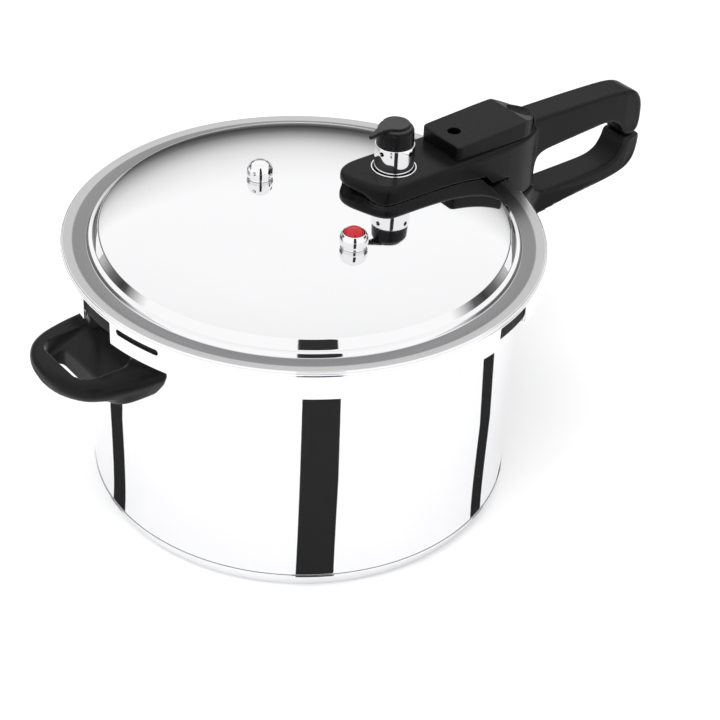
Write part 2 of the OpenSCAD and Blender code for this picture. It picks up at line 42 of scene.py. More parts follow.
# main sizes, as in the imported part
BODY_R = 141.2
BODY_IN_R = 140.0
LIP_R = 149.5
LID_R = 156.8
SHEET = 1.2
CROWN_R = 131.4
CROWN_Z = 190.9
CROWN_RISE = 5.3
SEAT_Z = CROWN_Z + CROWN_RISE
VENT = (72.0, 0.0)
RELIEF = (2.9, 54.7)
FLOAT = (2.2, -47.8)
LUGS = ((0, 12), (58, 6.5), (122, 8.5), (192, 7), (238, 8.5), (302.5, 6))
TABS = ((-20, 20), (51, 91), (110, 134), (161, 205), (226, 250), (269, 309))
NOTCHES = (71, 178.8, 289)
VIEW_AZ = math.radians(39.5)


# ---------------------------------------------------------------- outlines

def fillet(points, closed=False, seg=5):
    """Polyline with the corners that carry a radius rounded off."""
    out = []
    n = len(points)
    for i, p in enumerate(points):
        r = p[2] if len(p) > 2 else 0
        ends = not closed and i in (0, n - 1)
        if r <= 0 or ends:
            out.append((p[0], p[1]))
            continue
        a = Vector(points[i - 1][:2]) - Vector(p[:2])
        b = Vector(points[(i + 1) % n][:2]) - Vector(p[:2])
        la, lb = a.length, b.length
        a.normalize()
        b.normalize()
        half = a.angle(b, 0) / 2
        if half < 0.02 or abs(half - math.pi / 2) < 0.01:
            out.append((p[0], p[1]))
            continue
        reach = min(r / math.tan(half), la * 0.49, lb * 0.49)
        r = reach * math.tan(half)
        mid = Vector(p[:2]) + (a + b).normalized() * (r / math.sin(half))
        s = Vector(p[:2]) + a * reach - mid
        e = Vector(p[:2]) + b * reach - mid
        turn = math.atan2(s.x * e.y - s.y * e.x, s.dot(e))
        for k in range(seg + 1):
            t = turn * k / seg
            c, q = math.cos(t), math.sin(t)
            out.append((mid.x + s.x * c - s.y * q, mid.y + s.x * q + s.y * c))
    return out


def arc(x, r, bearings):
    """Points on a circle centred on the x axis, at the given angles in degrees."""
    return [(x + r * math.cos(math.radians(a)), r * math.sin(math.radians(a))) for a in bearings]


def soften_outline(points, times=2):
    """Closed outline with its corners cut until it reads as a curve."""
    for _ in range(times):
        nxt = []
        for i, p in enumerate(points):
            q = points[(i + 1) % len(points)]
            nxt.append((p[0] * 0.78 + q[0] * 0.22, p[1] * 0.78 + q[1] * 0.22))
            nxt.append((p[0] * 0.22 + q[0] * 0.78, p[1] * 0.22 + q[1] * 0.78))
        points = nxt
    return points


def resample(points, count):
    """Closed outline walked in equal steps from its first point."""
    n = len(points)
    steps = [math.dist(points[i], points[(i + 1) % n]) for i in range(n)]
    total = sum(steps)
    out = []
    i, gone = 0, 0.0
    for k in range(count):
        want = total * k / count
        while gone + steps[i] < want:
            gone += steps[i]
            i += 1
        t = (want - gone) / steps[i]
        p, q = points[i], points[(i + 1) % n]
        out.append((p[0] + (q[0] - p[0]) * t, p[1] + (q[1] - p[1]) * t))
    return out


def inset(points, d):
    """Closed outline moved inwards by d."""
    if not d:
        return list(points)
    n = len(points)
    area = sum(points[i - 1][0] * points[i][1] - points[i][0] * points[i - 1][1] for i in range(n))
    sign = 1 if area > 0 else -1
    out = []
    for i in range(n):
        a, p, b = Vector(points[i - 1]), Vector(points[i]), Vector(points[(i + 1) % n])
        u, v = (p - a).normalized(), (b - p).normalized()
        nu, nv = Vector((-u.y, u.x)) * sign, Vector((-v.y, v.x)) * sign
        m = (nu + nv).normalized()
        out.append(tuple(p + m * (d / max(0.6, m.dot(nu)))))
    return out


def levels(z0, z1, r0, r1, seg=6):
    """Heights and insets of a slab whose lower and upper edges are rounded."""
    out = []
    for k in range(seg + 1):
        t = math.pi / 2 * k / seg
        if r0:
            out.append((z0 + r0 * (1 - math.sin(t)), r0 * (1 - math.cos(t))))
    out.reverse()
    out = out or [(z0, 0)]
    if r1:
        for k in range(seg + 1):
            t = math.pi / 2 * k / seg
            out.append((z1 - r1 * (1 - math.sin(t)), r1 * (1 - math.cos(t))))
    else:
        out.append((z1, 0))
    return out


# ---------------------------------------------------------------- meshes

def skin(bm, loops):
    """Joins equal loops of vertices into a tube and caps both ends."""
    rings = [[bm.verts.new(p) for p in loop] for loop in loops]
    n = len(rings[0])
    for a, b in zip(rings, rings[1:]):
        for i in range(n):
            j = (i + 1) % n
            bm.faces.new((a[i], a[j], b[j], b[i]))
    bm.faces.new(rings[0][::-1])
    bm.faces.new(rings[-1])


def slab(outline, lv, axis="z"):
    """Solid with rounded edges from an outline. axis z: plan outline; axis y: side outline."""
    bm = bmesh.new()
    loops = []
    for h, d in lv:
        pts = inset(outline, d)
        if axis == "z":
            loops.append([(x, y, h) for x, y in pts])
        else:
            loops.append([(x, h, z) for x, z in pts])
    skin(bm, loops)
    bmesh.ops.recalc_face_normals(bm, faces=bm.faces)
    return bm


def spin(profile, seg=256, closed=False, at=(0, 0)):
    """Solid of revolution about the vertical through at."""
    bm = bmesh.new()
    cols = []
    for k in range(seg):
        c, s = math.cos(2 * math.pi * k / seg), math.sin(2 * math.pi * k / seg)
        col = []
        for r, z in profile:
            if r < 1e-6:
                col.append(None if cols else bm.verts.new((at[0], at[1], z)))
            else:
                col.append(bm.verts.new((at[0] + r * c, at[1] + r * s, z)))
        if cols:
            col = [v if v else cols[0][i] for i, v in enumerate(col)]
        cols.append(col)
    m = len(profile)
    for k in range(seg):
        a, b = cols[k], cols[(k + 1) % seg]
        for i in range(m if closed else m - 1):
            j = (i + 1) % m
            face = []
            for v in (a[i], b[i], b[j], a[j]):
                if v not in face:
                    face.append(v)
            if len(face) > 2:
                bm.faces.new(face)
    bmesh.ops.recalc_face_normals(bm, faces=bm.faces)
    return bm


def block(x0, x1, y0, y1, z0, z1):
    """Box between two corners."""
    bm = bmesh.new()
    bmesh.ops.create_cube(bm, size=1)
    bmesh.ops.scale(bm, verts=bm.verts, vec=(x1 - x0, y1 - y0, z1 - z0))
    bmesh.ops.translate(bm, verts=bm.verts, vec=((x0 + x1) / 2, (y0 + y1) / 2, (z0 + z1) / 2))
    return bm


def rod(a, b, r, seg=48):
    """Cylinder from point a to point b."""
    bm = bmesh.new()
    a, b = Vector(a), Vector(b)
    bmesh.ops.create_cone(bm, cap_ends=True, segments=seg, radius1=r, radius2=r, depth=(b - a).length)
    turn = Vector((0, 0, 1)).rotation_difference(b - a).to_matrix().to_4x4()
    bmesh.ops.transform(bm, matrix=Matrix.Translation((a + b) / 2) @ turn, verts=bm.verts)
    return bm


def ball(at, r, seg=64):
    """Sphere about a point."""
    bm = bmesh.new()
    bmesh.ops.create_uvsphere(bm, u_segments=seg, v_segments=seg // 2, radius=r)
    bmesh.ops.translate(bm, verts=bm.verts, vec=at)
    return bm


def sector(r0, r1, z0, z1, a, half, soft=0.3):
    """Short arc of a flat ring with slightly rounded edges."""
    bm = bmesh.new()
    steps = max(8, int(half * 2))
    prof = fillet([(r0, z0, soft), (r1, z0, soft), (r1, z1, soft), (r0, z1, soft)], True, 2)
    loops = []
    for k in range(steps + 1):
        t = math.radians(a - half + 2 * half * k / steps)
        loops.append([(r * math.cos(t), r * math.sin(t), z) for r, z in prof])
    skin(bm, loops)
    bmesh.ops.recalc_face_normals(bm, faces=bm.faces)
    return bm


def merge(bm, *others):
    """Adds the faces of the others to bm."""
    for o in others:
        tmp = bpy.data.meshes.new("tmp")
        o.to_mesh(tmp)
        o.free()
        bm.from_mesh(tmp)
        bpy.data.meshes.remove(tmp)
    return bm


def put(name, bm):
    """Mesh object in metres from a mesh in millimetres."""
    me = bpy.data.meshes.new(name)
    bmesh.ops.scale(bm, verts=bm.verts, vec=(MM, MM, MM))
    bm.to_mesh(me)
    bm.free()
    ob = bpy.data.objects.new(name, me)
    bpy.context.scene.collection.objects.link(ob)
    return ob


def take_back(*obs):
    """One mesh in millimetres from finished objects, which are removed."""
    bm = bmesh.new()
    for ob in obs:
        bm.from_mesh(ob.data)
    bmesh.ops.scale(bm, verts=bm.verts, vec=(1 / MM, 1 / MM, 1 / MM))
    for ob in obs:
        bpy.data.objects.remove(ob, do_unlink=True)
    return bm


def cross_holes(at, z, first, near, far, r, seg):
    """Four rods square to each other that drill a round wall, the first at an angle in degrees."""
    rods = []
    for k in range(4):
        t = math.radians(first + 90 * k)
        c, s = math.cos(t), math.sin(t)
        start = (at[0] + near * c, at[1] + near * s, z)
        rods.append(rod(start, (at[0] + far * c, at[1] + far * s, z), r, seg))
    return rods


def bake(ob):
    """Replaces an object's mesh with the result of its modifiers."""
    dg = bpy.context.evaluated_depsgraph_get()
    me = bpy.data.meshes.new_from_object(ob.evaluated_get(dg))
    old = ob.data
    ob.modifiers.clear()
    ob.data = me
    bpy.data.meshes.remove(old)


def carve(ob, *cutters):
    """Takes each cutter out of the object."""
    for c in cutters:
        tool = put("cutter", c)
        m = ob.modifiers.new("cut", "BOOLEAN")
        m.operation = "DIFFERENCE"
        m.solver = "EXACT"
        m.object = tool
        bake(ob)
        bpy.data.objects.remove(tool, do_unlink=True)
    return ob


def mould(ob, voxel, passes):
    """Moulded plastic: one skin over all the overlapping shapes, every edge slightly rounded."""
    m = ob.modifiers.new("skin", "REMESH")
    m.mode = "VOXEL"
    m.voxel_size = voxel * MM
    s = ob.modifiers.new("ease", "SMOOTH")
    s.factor = 0.5
    s.iterations = passes
    bake(ob)
    return ob


def dress(ob, mat, body, nodes, sharp=None):
    """Shading, material, body and CAD nodes of a finished piece."""
    for p in ob.data.polygons:
        p.use_smooth = True
    if sharp:
        ob.data.set_sharp_from_angle(angle=math.radians(sharp))
    ob.data.materials.clear()
    ob.data.materials.append(mat)
    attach(ob, body)
    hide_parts(*nodes)
    return ob


def slice_across(bm, x):
    """Adds a line of vertices across a mesh where it will bend."""
    everything = bm.verts[:] + bm.edges[:] + bm.faces[:]
    bmesh.ops.bisect_plane(bm, geom=everything, plane_co=(x, 0, 0), plane_no=(1, 0, 0))


# ---------------------------------------------------------------- materials

def shader(name):
    """New material with its node tree, main shader and texture coordinates."""
    mat = bpy.data.materials.new(name)
    mat.use_nodes = True
    nt = mat.node_tree
    return mat, nt, nt.nodes["Principled BSDF"], nt.nodes.new("ShaderNodeTexCoord")


def noise(nt, coord, scale, detail=3.0, rough=0.5):
    """Smooth random pattern from 0 to 1."""
    n = nt.nodes.new("ShaderNodeTexNoise")
    n.inputs["Scale"].default_value = scale
    n.inputs["Detail"].default_value = detail
    n.inputs["Roughness"].default_value = rough
    nt.links.new(coord, n.inputs["Vector"])
    return n.outputs["Fac"]


def remap(nt, value, lo, hi, a=0.3, b=0.7):
    """Turns values from a to b into lo to hi, held at the ends."""
    m = nt.nodes.new("ShaderNodeMapRange")
    m.inputs["From Min"].default_value = a
    m.inputs["From Max"].default_value = b
    m.inputs["To Min"].default_value = lo
    m.inputs["To Max"].default_value = hi
    nt.links.new(value, m.inputs["Value"])
    return m.outputs["Result"]


def blend_colour(nt, fac, dark, light):
    """Colour between dark and light."""
    m = nt.nodes.new("ShaderNodeMix")
    m.data_type = "RGBA"
    m.inputs["A"].default_value = (*dark, 1)
    m.inputs["B"].default_value = (*light, 1)
    nt.links.new(fac, m.inputs["Factor"])
    return m.outputs["Result"]


def add_bump(nt, bsdf, height, strength, distance_mm):
    """Fine relief on the shader's normal."""
    b = nt.nodes.new("ShaderNodeBump")
    b.inputs["Strength"].default_value = strength
    b.inputs["Distance"].default_value = distance_mm * MM
    nt.links.new(height, b.inputs["Height"])
    nt.links.new(b.outputs["Normal"], bsdf.inputs["Normal"])


def steel(name, tint=(0.86, 0.86, 0.87), rough=(0.02, 0.04), grain=0.0, bump=0.02):
    """Pressed stainless steel; grain stretches the fine scratches round the vertical axis."""
    mat, nt, bsdf, tc = shader(name)
    co = tc.outputs["Object"]
    mapping = nt.nodes.new("ShaderNodeMapping")
    mapping.inputs["Scale"].default_value = (1, 1, 1 + 9 * grain)
    nt.links.new(co, mapping.inputs["Vector"])
    broad = noise(nt, co, 18, 2)
    fine = noise(nt, mapping.outputs["Vector"], 900, 4, 0.6)
    nt.links.new(remap(nt, broad, rough[0], rough[1]), bsdf.inputs["Roughness"])
    dark = tuple(c * 0.975 for c in tint)
    nt.links.new(blend_colour(nt, broad, dark, tint), bsdf.inputs["Base Color"])
    bsdf.inputs["Metallic"].default_value = 1.0
    add_bump(nt, bsdf, fine, bump, 0.01)
    return mat


def axis_distance(nt):
    """Distance of a point from the pot's axis, in metres."""
    flat = nt.nodes.new("ShaderNodeVectorMath")
    flat.operation = "MULTIPLY"
    flat.inputs[1].default_value = (1, 1, 0)
    nt.links.new(nt.nodes["Texture Coordinate"].outputs["Object"], flat.inputs[0])
    reach = nt.nodes.new("ShaderNodeVectorMath")
    reach.operation = "LENGTH"
    nt.links.new(flat.outputs["Vector"], reach.inputs[0])
    return reach.outputs["Value"]


def satin_inside(name):
    """Polished outside, brushed satin inside and under the rim."""
    mat = steel(name)
    nt = mat.node_tree
    bsdf = nt.nodes["Principled BSDF"]
    inside = remap(nt, axis_distance(nt), 0.26, 0.0, 0.1402, 0.1406)
    add = nt.nodes.new("ShaderNodeMath")
    add.operation = "ADD"
    add.use_clamp = True
    nt.links.new(bsdf.inputs["Roughness"].links[0].from_socket, add.inputs[0])
    nt.links.new(inside, add.inputs[1])
    nt.links.new(add.outputs["Value"], bsdf.inputs["Roughness"])
    return mat


def pressed_lid(name):
    """Polished crown and skirt; the flange between them is left satin, with painted shade in its base colour,
    darker on its inner part.
    """
    mat = steel(name, rough=(0.025, 0.045))
    nt = mat.node_tree
    bsdf = nt.nodes["Principled BSDF"]
    reach = axis_distance(nt)
    starts = remap(nt, reach, 0, 1, 0.1404, 0.1412)
    ends = remap(nt, reach, 1, 0, 0.1553, 0.1558)
    zone = nt.nodes.new("ShaderNodeMath")
    zone.operation = "MULTIPLY"
    nt.links.new(starts, zone.inputs[0])
    nt.links.new(ends, zone.inputs[1])
    # painted shade: the flange's base colour is a grey ring, 0.27 on its inner part and 0.56 on its outer
    # band
    lighter_shade_band = remap(nt, reach, 0, 1, 0.1493, 0.1503)
    ring = blend_colour(nt, lighter_shade_band, (0.27, 0.27, 0.275), (0.56, 0.56, 0.565))
    shade = nt.nodes.new("ShaderNodeMix")
    shade.data_type = "RGBA"
    nt.links.new(zone.outputs["Value"], shade.inputs["Factor"])
    nt.links.new(bsdf.inputs["Base Color"].links[0].from_socket, shade.inputs["A"])
    nt.links.new(ring, shade.inputs["B"])
    nt.links.new(shade.outputs["Result"], bsdf.inputs["Base Color"])
    add = nt.nodes.new("ShaderNodeMath")
    add.operation = "MULTIPLY_ADD"
    nt.links.new(zone.outputs["Value"], add.inputs[0])
    add.inputs[1].default_value = 0.22
    nt.links.new(bsdf.inputs["Roughness"].links[0].from_socket, add.inputs[2])
    nt.links.new(add.outputs["Value"], bsdf.inputs["Roughness"])
    return mat


def bakelite(name, tone=0.0022, rough=(0.29, 0.36), top=0.008):
    """Black phenolic moulding: finely speckled; faces turned up are greyer, a painted light; convex edges are
    lighter, a painted highlight with some rubbed wear.
    """
    mat, nt, bsdf, tc = shader(name)
    co = tc.outputs["Object"]
    speck = noise(nt, co, 420, 4, 0.6)
    cloud = noise(nt, co, 30, 2)
    geo = nt.nodes.new("ShaderNodeNewGeometry")
    # convex edges lighter: painted highlight along the edges, partly rubbed wear
    edge_wear_and_highlight = remap(nt, geo.outputs["Pointiness"], 0, 1, 0.507, 0.545)
    patches = remap(nt, cloud, 0, 1)
    body = blend_colour(nt, patches, (tone, tone, tone * 1.04), (tone * 1.5, tone * 1.5, tone * 1.55))
    # painted light: faces turned up are mixed towards the lighter top tone
    facing = nt.nodes.new("ShaderNodeSeparateXYZ")
    nt.links.new(geo.outputs["Normal"], facing.inputs[0])
    painted_top_light = nt.nodes.new("ShaderNodeMix")
    painted_top_light.data_type = "RGBA"
    nt.links.new(remap(nt, facing.outputs["Z"], 0, 1, 0.55, 0.97), painted_top_light.inputs["Factor"])
    nt.links.new(body, painted_top_light.inputs["A"])
    painted_top_light.inputs["B"].default_value = (top, top, top * 1.02, 1)
    mix = nt.nodes.new("ShaderNodeMix")
    mix.data_type = "RGBA"
    nt.links.new(edge_wear_and_highlight, mix.inputs["Factor"])
    nt.links.new(painted_top_light.outputs["Result"], mix.inputs["A"])
    # colour of the painted edge highlight, partly rubbed wear
    mix.inputs["B"].default_value = (0.028, 0.028, 0.029, 1)
    nt.links.new(mix.outputs["Result"], bsdf.inputs["Base Color"])
    nt.links.new(remap(nt, speck, rough[0], rough[1]), bsdf.inputs["Roughness"])
    bsdf.inputs["Specular IOR Level"].default_value = 0.12
    add_bump(nt, bsdf, speck, 0.12, 0.03)
    return mat


def rubber(name):
    """Matt black sealing rubber."""
    mat, nt, bsdf, tc = shader(name)
    n = noise(nt, tc.outputs["Object"], 260, 5, 0.6)
    colour = blend_colour(nt, n, (0.004, 0.004, 0.0045), (0.010, 0.010, 0.011))
    nt.links.new(colour, bsdf.inputs["Base Color"])
    nt.links.new(remap(nt, n, 0.55, 0.72), bsdf.inputs["Roughness"])
    bsdf.inputs["Specular IOR Level"].default_value = 0.2
    add_bump(nt, bsdf, n, 0.2, 0.05)
    return mat


def glossy_red(name):
    """Glossy red enamel."""
    mat, nt, bsdf, tc = shader(name)
    n = noise(nt, tc.outputs["Object"], 180, 3)
    nt.links.new(blend_colour(nt, n, (0.40, 0.004, 0.010), (0.50, 0.007, 0.014)), bsdf.inputs["Base Color"])
    nt.links.new(remap(nt, n, 0.13, 0.20), bsdf.inputs["Roughness"])
    add_bump(nt, bsdf, n, 0.05, 0.02)
    return mat


polished = steel("steel_polished")
pot_steel = satin_inside("steel_pot")
lid_steel = pressed_lid("steel_lid")
satin = steel("steel_satin", (0.62, 0.62, 0.63), (0.24, 0.34), 1.0, 0.15)
aluminium = steel("aluminium_core", (0.72, 0.73, 0.74), (0.34, 0.46), 0.0, 0.2)
chrome = steel("chrome_bright", (0.88, 0.88, 0.89), (0.02, 0.035), 0.0, 0.01)
brass = steel("brass_dull", (0.62, 0.50, 0.26), (0.26, 0.38), 0.0, 0.15)
handle_black = bakelite("black_bakelite")
# the cap's faces turned up get a strong painted light: top tone 0.05
cap_black = bakelite("black_cap", 0.004, (0.26, 0.34), 0.05)
gasket_black = rubber("black_rubber")
red = glossy_red("red_gloss")


# ---------------------------------------------------------------- pot

def crown(r):
    """Height of the lid's dome at a distance from the axis."""
    return CROWN_Z + CROWN_RISE * (1 - 0.1 * (r / CROWN_R) ** 2 - 0.9 * (r / CROWN_R) ** 6)


pot = spin(fillet([
    (0, 8.0), (70, 8.0), (BODY_R, 8.0, 5.2), (BODY_R, 90), (BODY_R, 169.8, 0.8), (LIP_R - 1.2, 169.8, 0.8),
    (LIP_R - 1.2, 165.4, 0.3), (LIP_R, 165.4, 0.4), (LIP_R, 171, 1.9), (BODY_IN_R, 171, 1.6),
    (BODY_IN_R, 90), (BODY_IN_R, 9.2, 5.0), (70, 9.2), (0, 9.2)], seg=7), 288)
merge(pot, *[sector(LIP_R - 0.4, LIP_R + 4.6, 165.4, 167.6, a, h) for a, h in LUGS])
dress(put("pot_body", pot), pot_steel, "pot", ["pot_shell"], 50)

base = spin(fillet([
    (0, 0), (70, 0), (136.1, 0.0, 2.2), (141.6, 10.6, 1.0), (141.6, 11.7, 0.4), (BODY_R, 11.7, 0.1),
    (140.1, 9.8, 1), (136.1, 7.9, 1), (135.5, 5), (135.2, 1.0, 0.6), (0, 1.0)], seg=6), 288)
dress(put("base_cup", base), polished, "pot", ["base_cap"], 50)


def grip_width(x, wide, narrow):
    """Half width of the lower handle: broad at the pot, narrow where it is held, tapered at its end."""
    t = min(1, max(0, (x - 174) / 25))
    w = wide + (narrow - wide) * (t * t * (3 - 2 * t))
    e = min(1, max(0, (x - 283) / 13))
    return w * (1 - 0.2 * e * e)


low_side = [(141, 137), (150, 134.6), (165, 134), (199, 135.6), (240, 139.2), (268, 141.6),
            (282, 144.8), (290.2, 150.4), (294.2, 158.4), (295.4, 167), (294.6, 169.8),
            (292.2, 171), (280.6, 171), (278.6, 169.4), (277, 163.6), (272.4, 156.6),
            (264, 153), (252, 152.3), (203, 152.3), (197.5, 153.6), (193.4, 157.2),
            (190.8, 161.2), (188.4, 162.3), (141, 162.3)]
low = slab(resample(soften_outline(low_side, 2), 260), levels(-20, 20, 2.6, 2.6, 6), "y")
for v in low.verts:
    v.co.y *= grip_width(v.co.x, 20, 12) / 20
low_grip = carve(put("pot_handle_moulding", low), rod((0, 0, 120), (0, 0, 180), BODY_R + 0.3, 240),
                 rod((160, 0, 108), (160, 0, 140.6), 4.6), rod((178, 0, 108), (178, 0, 140.6), 4.6),
                 block(140, 185.5, -8.3, 8.3, 145.6, 149.4))
mould(low_grip, 0.62, 6)
dress(low_grip, handle_black, "pot", ["pot_handle"])


def mirrored(half):
    """Closed outline from its near half, mirrored to the far side."""
    return half + [(x, -y) for x, y in reversed(half) if y]


def helper_line(d=0.0):
    """Plan outline of the helper handle, inset by d."""
    w, e, k = 43 - d, 198 - d, d * 0.7
    half = [(-130, -w), (-145, -w + 0.5), (k - 160, -w + 2), (k - 176, -w + 5.5), (k - 186, -w + 11),
            (5.5 - e, -w + 19), (1.5 - e, -w + 28), (-e, -4), (-e, 0)]
    return resample(soften_outline(mirrored(half), 2), 240)


helper_sole = resample(soften_outline(mirrored(
    [(-130, -37), (-158, -37), (-166, -33), (-170, -24), (-171, 0)]), 2), 240)
helper = bmesh.new()
skin(helper, [[(x, y, z) for x, y in line] for z, line in (
    [(132.5, inset(helper_sole, 1.0)), (133.2, inset(helper_sole, 0.2)), (134.2, inset(helper_sole, -0.4)),
     (141, helper_line(2.0)), (144.5, helper_line(0.5)), (147, helper_line(0)), (149, helper_line(0))]
    + [(149 + 4.6 * math.sin(math.radians(t)), helper_line(5.4 * (1 - math.cos(math.radians(t)))))
       for t in (18, 36, 54, 72, 90)])])
bmesh.ops.recalc_face_normals(helper, faces=helper.faces)
seat = slab(resample(soften_outline([(-150.4, -34), (-130, -34), (-130, 34), (-150.4, 34)], 2), 80),
            levels(145, 159, 0, 1.2))
dish = slab(resample(soften_outline([(-143, -26), (-172, -26), (-179.5, -25), (-185.2, -19), (-185.2, 19),
                                     (-179.5, 25), (-172, 26), (-143, 26)], 2), 120),
            levels(144.6, 170, 2.6, 0))
for v in dish.verts:
    if v.co.z < 160:
        v.co.z += max(0, (v.co.x + 176) * 0.33)
hole_line = fillet([(-185, -21, 4), (-171, -21, 4), (-171, 21, 4), (-185, 21, 4)], True, 6)
helper_grip = put("helper_handle_moulding", merge(helper, seat))
mould(helper_grip, 0.9, 2)
carve(helper_grip, dish, slab(hole_line, [(120, 0), (170, 0)]),
      rod((0, 0, 120), (0, 0, 180), BODY_R + 0.3, 240), rod((-153, 0, 100), (-153, 0, 139.8), 4.6))
mould(helper_grip, 0.8, 6)
dress(helper_grip, handle_black, "pot", ["helper_handle"])
helper_grip.visible_glossy = False


# ---------------------------------------------------------------- lid

def skirt_edge(a):
    """Height of the skirt's lower edge at angle a in degrees: plain, eased down to each tab."""
    a %= 360
    low_z, high_z = 163.4, 169.0
    for s, e in TABS:
        for shift in (-360, 0):
            if s + shift <= a <= e + shift:
                d = min(a - s - shift, e + shift - a)
                t = min(1, d / 2.2)
                return high_z + (low_z - high_z) * (t * t * (3 - 2 * t))
    return high_z


def lid_mesh():
    """Pressed lid: one sheet from the centre of the crown to the cut edge of its skirt."""
    radii = [CROWN_R * 0.985 * math.sqrt(i / 26) for i in range(27)]
    top = [(r, crown(r)) for r in radii]
    top = fillet(top + [
        (133.0, 190.5, 2.0), (136.7, 184.62, 1.1), (139.6, 184.4, 0.8), (140.5, 181.65, 0.8),
        (147.6, 182.2, 4), (156.05, 183.1, 0.4), (156.1, 182.2, 0.2), (157.2, 182.0, 0.5),
        (157.25, 180.7, 0.5), (156.3, 180.3, 0.2), (LID_R, 179.7, 0.3), (LID_R, 179.0)], seg=5)
    under = [(155.6, 179.0), (155.6, 181.5, 0.8), (147.6, 181.0, 3), (140.2, 180.45, 1),
             (138.7, 183.1, 0.8), (135.9, 183.6, 1), (132.3, 189.3, 1.2)]
    radii = [CROWN_R * 0.97 * i / 8 for i in range(8, -1, -1)]
    under = fillet(under + [(r, crown(r) - SHEET) for r in radii], seg=4)
    half_notch, half_window, window_at = 5.75, 6.4, 193.2
    angles = [k * 0.75 for k in range(480)]
    marks = [m for t in TABS for m in t]
    for m in marks:
        angles += [m - 2.4 + 0.2 * k for k in range(25)]
    for n in NOTCHES:
        for side in (-1, 1):
            angles += [n + side * (half_notch + d) for d in (0.02, 0)]
            angles += [n + side * (half_notch - 0.1 * k) for k in range(1, 7)]
    for side in (-1, 1):
        angles += [window_at + side * (half_window - 0.09 * k) for k in range(11)]
    angles = sorted({round(a % 360, 3) for a in angles})

    def limits(a):
        low_z = skirt_edge(a)
        for n in NOTCHES:
            d = half_notch - abs(a - n)
            if d >= 0:
                dd = max(0.0, 1.2 - d * 2.73)
                low_z = 178.6 - (1.2 - math.sqrt(max(0.0, 1.44 - dd * dd)))
        d = half_window - abs(a - window_at)
        half = 0.0
        if d >= 0:
            dd = max(0.0, 2.1 - d * 2.73)
            half = math.sqrt(max(0.0, 4.41 - dd * dd))
        mid = 175.7 if low_z < 174 else (low_z + 179) / 2
        return low_z, mid + half, mid - half

    bm = bmesh.new()
    centre_top = bm.verts.new((0, 0, top[0][1]))
    centre_low = bm.verts.new((0, 0, under[-1][1]))
    cols = []
    ease = 0.25
    for a in angles:
        low_z, w1, w0 = limits(a)
        outer = [(LID_R, w1), (LID_R, w0), (LID_R, low_z + ease), (LID_R - ease, low_z)]
        inner_r = LID_R - SHEET
        inner = [(inner_r + ease, low_z), (inner_r, low_z + ease), (inner_r, w0), (inner_r, w1)]
        c, s = math.cos(math.radians(a)), math.sin(math.radians(a))
        pts = top[1:] + outer + inner + under[:-1]
        cols.append(([bm.verts.new((r * c, r * s, z)) for r, z in pts], w1 - w0))
    nt, m = len(top) - 1, len(cols[0][0])
    for k in range(len(cols)):
        (a, wa), (b, wb) = cols[k], cols[(k + 1) % len(cols)]
        bm.faces.new((centre_top, a[0], b[0]))
        for i in range(m - 1):
            if i in (nt, nt + 6) and wa + wb > 0.05:
                continue
            bm.faces.new((a[i], a[i + 1], b[i + 1], b[i]))
        if wa + wb > 0.05:
            bm.faces.new((a[nt], a[nt + 7], b[nt + 7], b[nt]))
            bm.faces.new((a[nt + 6], a[nt + 1], b[nt + 1], b[nt + 6]))
        bm.faces.new((centre_low, b[-1], a[-1]))
    bmesh.ops.remove_doubles(bm, verts=bm.verts, dist=0.0005)
    bmesh.ops.recalc_face_normals(bm, faces=bm.faces)
    return bm


lid = lid_mesh()
merge(lid, *[sector(150.2, 156.4, 163.4, 164.9, a, h, 0.2) for a, h in LUGS])
dress(put("lid_pressing", lid), lid_steel, "lid", ["lid_shell"], 40)

ring = spin(fillet([
    (150.4, 168.4, 0.6), (155.2, 168.4, 0.6), (155.25, 178.6, 1), (153.8, 180.35, 0.8), (142.7, 180.35, 0.5),
    (142.7, 179.2, 0.4), (144, 178.6, 0.5), (148.5, 178.2, 1), (148.5, 174.2, 1), (144.4, 173.4, 0.6),
    (142.9, 172.6, 0.4), (142.9, 171.4, 0.3), (150.4, 171.3, 0.4)], True, 3), 240, True)
dress(put("sealing_ring", ring), gasket_black, "lid", ["gasket"])

# everything that must stay clear under the arm
GAP = 0.3
crown_radii = [CROWN_R * math.sqrt(i / 14) for i in range(15)]
clear_of_lid = spin([(0, 120)] + [(r, crown(r) + GAP) for r in crown_radii]
                    + [(137.5, 190.7), (143.5, 183.5), (158.1, 183.5), (158.1, 120)], 240)

arm_rear_half = [(192.4, 0), (192.4, 9.5), (187, 14.2), (179, 18), (168, 21), (150, 22.8)]
arm_tip = [(60, 24), (50.6, 23.4), (44, 20.8), (39.8, 16.4), (38.2, 11), (38.6, 5), (40.4, -1.5),
           (45, -14.5), (49.4, -20.8), (54, -23.2), (60, -24)]
foot_tip = [(62, 24), (50, 23.4), (45.6, 22), (44.8, 10), (44.3, -2), (44.5, -13), (45.3, -18),
            (47.6, -21.4), (51.6, -23.5), (60, -24)]
arm_rear_near = [(x, -y) for x, y in reversed(arm_rear_half[1:])]
arm_line = resample(soften_outline(arm_rear_half + arm_tip + arm_rear_near, 2), 320)
foot_line = resample(soften_outline(arm_rear_half + foot_tip + arm_rear_near, 2), 320)


def arm_mesh():
    """The arm over the dome, with its foot drawn in below."""
    bm = bmesh.new()
    loops = [[(x, y, 163.2) for x, y in inset(foot_line, 0.8)], [(x, y, 164.2) for x, y in foot_line],
             [(x, y, 196.6) for x, y in foot_line], [(x, y, 201.2) for x, y in arm_line]]
    for z, d in levels(204, 208, 0, 3.6, 8)[1:]:
        loops.append([(x, y, z) for x, y in inset(arm_line, d)])
    skin(bm, loops)
    bmesh.ops.recalc_face_normals(bm, faces=bm.faces)
    return bm


